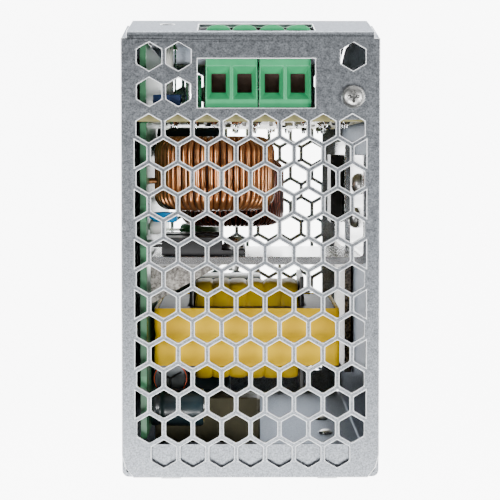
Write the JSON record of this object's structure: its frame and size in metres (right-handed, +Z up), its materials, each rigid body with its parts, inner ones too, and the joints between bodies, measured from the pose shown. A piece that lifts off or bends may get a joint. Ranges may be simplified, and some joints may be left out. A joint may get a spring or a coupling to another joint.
{
  "type": "din rail power supply",
  "caption": "Upright metal-cased power supply for a 35 mm rail, with hexagon-mesh end faces, green screw terminals, a sprung rail latch and its inner boards and coils.",
  "frame": {"origin": "on the rail seat plane, mid-width, level with the rail's centreline", "axes": "+Z up in use, towards the output end face; +Y towards the rail and panel; the front panel faces -Y; X across the width"},
  "size_m": [0.063, 0.1236, 0.1292],
  "materials": {
    "galvanised_sheet": "galvanised sheet, fine grain",
    "film": "matt black insulating film",
    "zinc_screw": "bright zinc",
    "clip_steel": "zinc-plated spring steel",
    "spring_steel": "drawn wire",
    "rivet_steel": "zinc-plated",
    "board_laminate": "green solder resist on glass laminate",
    "front_board_laminate": "olive laminate",
    "green_plastic": "satin moulded",
    "terminal_steel": "nickel-plated",
    "clamp_steel": "nickel-plated",
    "adjuster_case": "moulded",
    "adjuster_white": "moulded",
    "lamp_green": "clear tinted",
    "ferrite": "sintered, matt",
    "copper_wire": "enamelled copper wire",
    "dark_copper_wire": "enamelled copper wire, dark",
    "yellow_tape": "polyester tape",
    "black_nylon": "moulded",
    "capacitor_sleeve": "shrink sleeve",
    "blue_lacquer": "dipped lacquer",
    "box_capacitor_case": "moulded",
    "thermistor_coating": "dipped coating",
    "heatsink_aluminium": "mill finish",
    "package_epoxy": "moulded epoxy"
  },
  "bodies": {
    "root": {"cover": "galvanised_sheet", "chassis": "galvanised_sheet", "insulating_film": "film", "cover_screw_top": "zinc_screw", "cover_screw_bottom": "zinc_screw", "rail_bracket": "clip_steel", "latch_spring": "spring_steel", "bracket_rivet_1": "rivet_steel", "bracket_rivet_2": "rivet_steel", "bracket_rivet_3": "rivet_steel", "bracket_rivet_4": "rivet_steel", "main_board": "board_laminate", "front_board": "front_board_laminate", "output_terminal_1": "green_plastic", "output_terminal_2": "green_plastic", "input_terminal": "green_plastic", "adjuster_body": "adjuster_case", "status_lamp": "lamp_green", "output_choke_core": "ferrite", "output_choke_winding": "copper_wire", "filter_choke_core": "ferrite", "filter_choke_winding": "dark_copper_wire", "transformer_core": "ferrite", "transformer_tape": "yellow_tape", "transformer_bobbin": "black_nylon", "transformer_winding": "yellow_tape", "output_capacitor_1": "capacitor_sleeve", "output_capacitor_2": "capacitor_sleeve", "output_capacitor_3": "capacitor_sleeve", "bulk_capacitor_1": "capacitor_sleeve", "bulk_capacitor_2": "capacitor_sleeve", "disc_capacitor": "blue_lacquer", "box_capacitor": "box_capacitor_case", "output_capacitor_4": "capacitor_sleeve", "inrush_thermistor": "thermistor_coating", "output_heatsink": "heatsink_aluminium", "input_heatsink": "heatsink_aluminium", "transistor_1": "package_epoxy", "transistor_2": "package_epoxy", "bridge_rectifier": "package_epoxy", "heatsink_screw_1": "zinc_screw", "heatsink_screw_2": "zinc_screw", "transistor_screw_1": "zinc_screw", "transistor_screw_2": "zinc_screw"},
    "latch": {"rail_latch": "clip_steel"},
    "adjuster": {"adjuster_rotor": "adjuster_white"},
    "output_screw_1": {"output_screw_1": "terminal_steel"},
    "output_clamp_1": {"output_clamp_1": "clamp_steel"},
    "output_screw_2": {"output_screw_2": "terminal_steel"},
    "output_clamp_2": {"output_clamp_2": "clamp_steel"},
    "output_screw_3": {"output_screw_3": "terminal_steel"},
    "output_clamp_3": {"output_clamp_3": "clamp_steel"},
    "output_screw_4": {"output_screw_4": "terminal_steel"},
    "output_clamp_4": {"output_clamp_4": "clamp_steel"},
    "input_screw_1": {"input_screw_1": "terminal_steel"},
    "input_clamp_1": {"input_clamp_1": "clamp_steel"},
    "input_screw_2": {"input_screw_2": "terminal_steel"},
    "input_clamp_2": {"input_clamp_2": "clamp_steel"},
    "input_screw_3": {"input_screw_3": "terminal_steel"},
    "input_clamp_3": {"input_clamp_3": "clamp_steel"}
  },
  "joints": [
    {"name": "latch_slide", "type": "slide", "parent": "root", "child": "latch", "axis": [0, 0, -1], "range_m": [0, 0.0045], "stiffness_N_per_m": 1500, "springref_m": -0.003, "deforming": ["latch_spring"]},
    {"name": "adjuster_turn", "type": "hinge", "parent": "root", "child": "adjuster", "pos_m": [0.0208, -0.106, 0.0486], "axis": [0, 1, 0], "range_deg": [-130, 130]},
    {"name": "output_screw_1_turn", "type": "hinge", "parent": "root", "child": "output_screw_1", "pos_m": [0.00783, -0.11, 0.0542], "axis": [0, 1, 0], "range_deg": [0, 2160]},
    {"name": "output_clamp_1_rise", "type": "slide", "parent": "root", "child": "output_clamp_1", "axis": [0, -1, 0], "range_m": [0, 0.003]},
    {"name": "output_screw_2_turn", "type": "hinge", "parent": "root", "child": "output_screw_2", "pos_m": [0.00147, -0.11, 0.0542], "axis": [0, 1, 0], "range_deg": [0, 2160]},
    {"name": "output_clamp_2_rise", "type": "slide", "parent": "root", "child": "output_clamp_2", "axis": [0, -1, 0], "range_m": [0, 0.003]},
    {"name": "output_screw_3_turn", "type": "hinge", "parent": "root", "child": "output_screw_3", "pos_m": [-0.00528, -0.11, 0.0542], "axis": [0, 1, 0], "range_deg": [0, 2160]},
    {"name": "output_clamp_3_rise", "type": "slide", "parent": "root", "child": "output_clamp_3", "axis": [0, -1, 0], "range_m": [0, 0.003]},
    {"name": "output_screw_4_turn", "type": "hinge", "parent": "root", "child": "output_screw_4", "pos_m": [-0.01162, -0.11, 0.0542], "axis": [0, 1, 0], "range_deg": [0, 2160]},
    {"name": "output_clamp_4_rise", "type": "slide", "parent": "root", "child": "output_clamp_4", "axis": [0, -1, 0], "range_m": [0, 0.003]},
    {"name": "input_screw_1_turn", "type": "hinge", "parent": "root", "child": "input_screw_1", "pos_m": [0.00445, -0.11, -0.0542], "axis": [0, 1, 0], "range_deg": [0, 2160]},
    {"name": "input_clamp_1_rise", "type": "slide", "parent": "root", "child": "input_clamp_1", "axis": [0, -1, 0], "range_m": [0, 0.003]},
    {"name": "input_screw_2_turn", "type": "hinge", "parent": "root", "child": "input_screw_2", "pos_m": [-0.0019, -0.11, -0.0542], "axis": [0, 1, 0], "range_deg": [0, 2160]},
    {"name": "input_clamp_2_rise", "type": "slide", "parent": "root", "child": "input_clamp_2", "axis": [0, -1, 0], "range_m": [0, 0.003]},
    {"name": "input_screw_3_turn", "type": "hinge", "parent": "root", "child": "input_screw_3", "pos_m": [-0.00825, -0.11, -0.0542], "axis": [0, 1, 0], "range_deg": [0, 2160]},
    {"name": "input_clamp_3_rise", "type": "slide", "parent": "root", "child": "input_clamp_3", "axis": [0, -1, 0], "range_m": [0, 0.003]}
  ],
  "couplings": [
    {"joint": "output_screw_1_turn", "follows": "output_clamp_1_rise", "rad_per_m": 12566},
    {"joint": "output_screw_2_turn", "follows": "output_clamp_2_rise", "rad_per_m": 12566},
    {"joint": "output_screw_3_turn", "follows": "output_clamp_3_rise", "rad_per_m": 12566},
    {"joint": "output_screw_4_turn", "follows": "output_clamp_4_rise", "rad_per_m": 12566},
    {"joint": "input_screw_1_turn", "follows": "input_clamp_1_rise", "rad_per_m": 12566},
    {"joint": "input_screw_2_turn", "follows": "input_clamp_2_rise", "rad_per_m": 12566},
    {"joint": "input_screw_3_turn", "follows": "input_clamp_3_rise", "rad_per_m": 12566}
  ]
}
